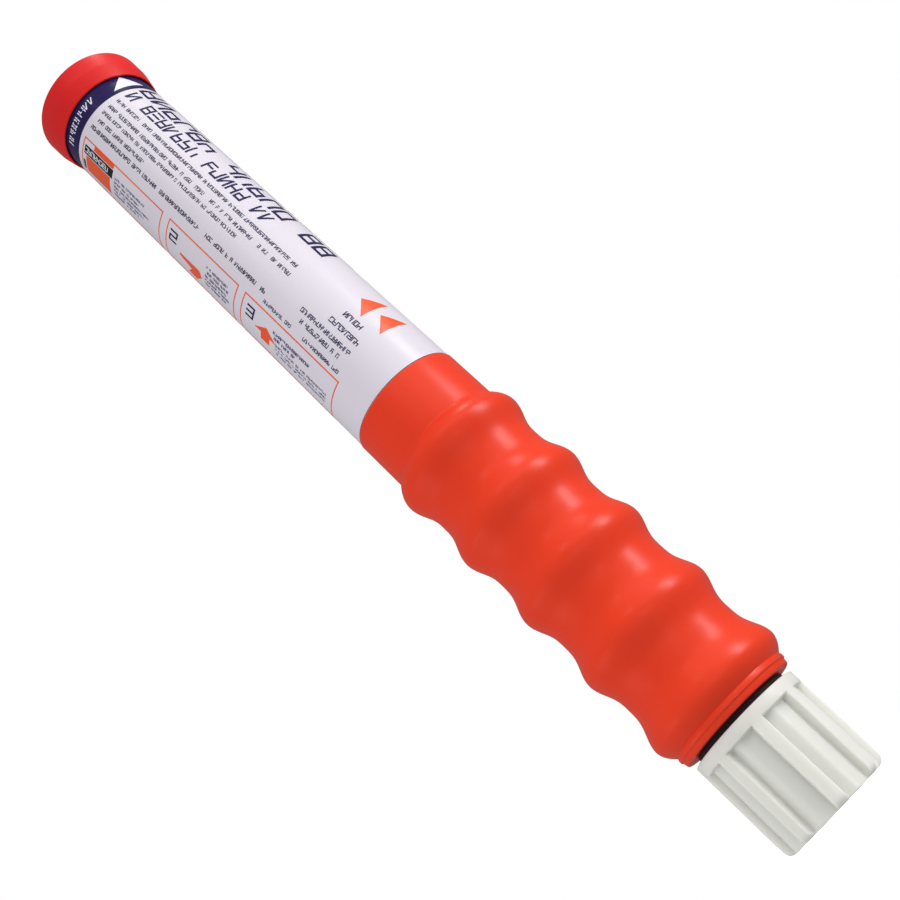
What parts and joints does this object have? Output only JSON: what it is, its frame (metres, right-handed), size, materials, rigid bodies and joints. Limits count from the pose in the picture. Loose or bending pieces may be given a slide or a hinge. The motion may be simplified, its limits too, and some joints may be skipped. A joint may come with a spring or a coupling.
{
  "type": "hand-held parachute rocket flare",
  "caption": "Slim hand-held rocket flare launcher: ringed orange grip, white wrapped tube, red end cap and a ribbed white screw cap over a pull ring.",
  "frame": {"origin": "centre of the base cap's foot, on the surface that the flare stands on", "axes": "+Z along the flare's axis towards the rocket end; -Y faces the printed side seen from the front; +X to the right of it"},
  "size_m": [0.0418, 0.0418, 0.314],
  "materials": {
    "orange_plastic": "smooth injection-moulded orange plastic, soft gloss",
    "red_plastic": "smooth red plastic, soft gloss",
    "white_plastic": "translucent natural white polyethylene",
    "tube_plastic": "white extruded plastic",
    "printed_film": "white printed film wrap",
    "black_rubber": "matt black rubber",
    "grey_plastic": "moulded grey plastic",
    "aluminium": "drawn aluminium",
    "steel": "plain steel",
    "brass": "turned brass",
    "paper_board": "wound kraft paper board",
    "felt": "pressed felt",
    "moulding": "dark pressed moulding",
    "nylon_cloth": "white woven nylon"
  },
  "bodies": {
    "launcher": {"grip_handle": "orange_plastic", "launch_tube": "tube_plastic", "label_wrap": "printed_film", "base_plug": "grey_plastic", "plug_oring": "black_rubber", "igniter_housing": "brass", "igniter_cup": "aluminium", "spacer_wad": "felt"},
    "gasket_ring": {"cap_gasket": "black_rubber"},
    "screw_cap": {"base_cap": "white_plastic"},
    "pull": {"pull_ring": "red_plastic", "pull_wire": "steel", "wire_ferrule": "brass"},
    "rocket": {"motor_case": "aluminium", "nozzle": "grey_plastic", "motor_charge": "moulding", "motor_bulkhead": "aluminium", "delay_tube": "brass", "payload_tube": "paper_board", "pusher_disc": "paper_board", "candle_case": "aluminium", "candle": "moulding", "swivel_eye": "steel", "suspension_line": "nylon_cloth", "felt_disc": "felt", "parachute_sleeve": "paper_board", "parachute_pack": "nylon_cloth", "nose_plug": "grey_plastic"},
    "end_cap": {"rocket_end_cap": "red_plastic", "end_cap_seal": "black_rubber"}
  },
  "joints": [
    {"name": "cap_travel", "type": "slide", "parent": "launcher", "child": "gasket_ring", "axis": [0, 0, -1], "range_m": [0, 0.036]},
    {"name": "cap_unscrew", "type": "hinge", "parent": "gasket_ring", "child": "screw_cap", "pos_m": [0, 0, 0], "axis": [0, 0, -1], "range_deg": [0, 1080]},
    {"name": "ring_pull", "type": "slide", "parent": "launcher", "child": "pull", "axis": [0, 0, -1], "range_m": [0, 0.02]},
    {"name": "rocket_launch", "type": "slide", "parent": "launcher", "child": "rocket", "axis": [0, 0, 1], "range_m": [0, 0.262]},
    {"name": "end_cap_off", "type": "slide", "parent": "launcher", "child": "end_cap", "axis": [0, 0, 1], "range_m": [0, 0.29]}
  ],
  "couplings": [
    {"joint": "cap_unscrew", "follows": "cap_travel", "rad_per_m": 523.59},
    {"joint": "ring_pull", "follows": "cap_travel", "ratio": 0.555},
    {"joint": "end_cap_off", "follows": "rocket_launch", "ratio": 1.1}
  ]
}
